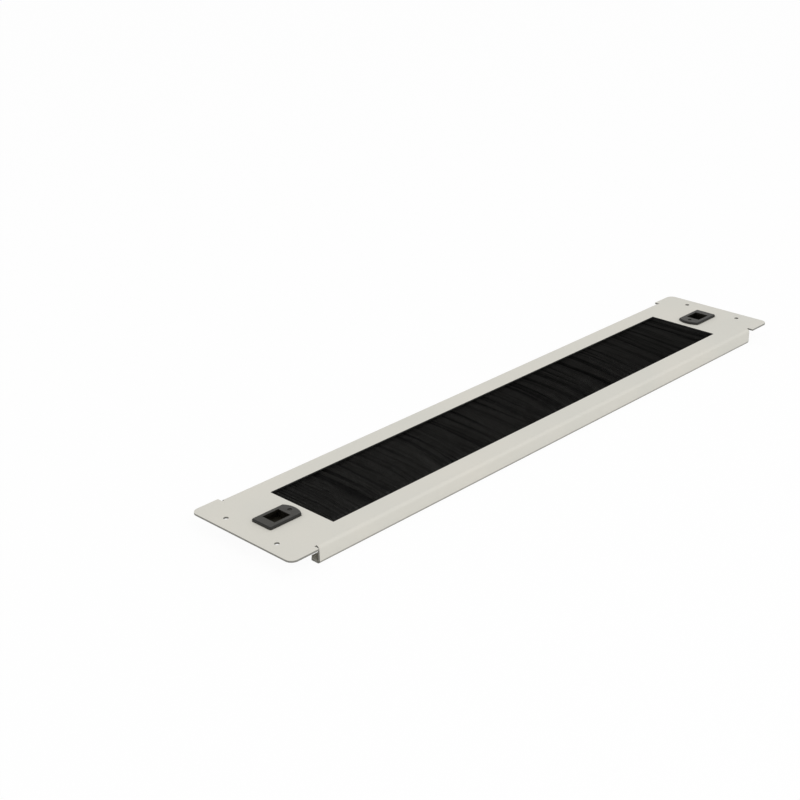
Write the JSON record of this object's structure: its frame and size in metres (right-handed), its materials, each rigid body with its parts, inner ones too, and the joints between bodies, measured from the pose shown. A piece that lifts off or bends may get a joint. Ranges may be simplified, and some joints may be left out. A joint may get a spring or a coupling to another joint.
{
  "type": "rack brush strip panel",
  "caption": "Two-unit rack panel folded from sheet, with a brushed cable opening and a slide latch at each end.",
  "frame": {"origin": "centre of the four ear holes, in the plane of the ears' rear faces, which seat on the rack's rails", "axes": "+X along the panel, +Y across it and up when it is fixed in a rack, +Z out of the front face"},
  "size_m": [0.4826, 0.0882, 0.0132],
  "materials": {
    "powder_coat": "matt",
    "holder_black": "matt",
    "bristle_black": "matt",
    "screw_black": "satin",
    "latch_plastic": "satin",
    "bolt_black": "matt",
    "spring_steel": "satin"
  },
  "bodies": {
    "panel": {"panel_sheet": "powder_coat", "brush_holder": "holder_black", "bristles": "bristle_black", "brush_screw_1": "screw_black", "brush_screw_2": "screw_black", "brush_screw_3": "screw_black", "brush_screw_4": "screw_black", "latch_housing_left": "latch_plastic", "latch_spring_left": "spring_steel", "latch_housing_right": "latch_plastic", "latch_spring_right": "spring_steel"},
    "left_latch": {"latch_bolt_left": "bolt_black"},
    "right_latch": {"latch_bolt_right": "bolt_black"}
  },
  "joints": [
    {"name": "left_latch_slide", "type": "slide", "parent": "panel", "child": "left_latch", "axis": [1, 0, 0], "range_m": [0, 0.0042], "stiffness_N_per_m": 400, "springref_m": -0.004, "deforming": ["latch_spring_left"]},
    {"name": "right_latch_slide", "type": "slide", "parent": "panel", "child": "right_latch", "axis": [-1, 0, 0], "range_m": [0, 0.0042], "stiffness_N_per_m": 400, "springref_m": -0.004, "deforming": ["latch_spring_right"]}
  ]
}
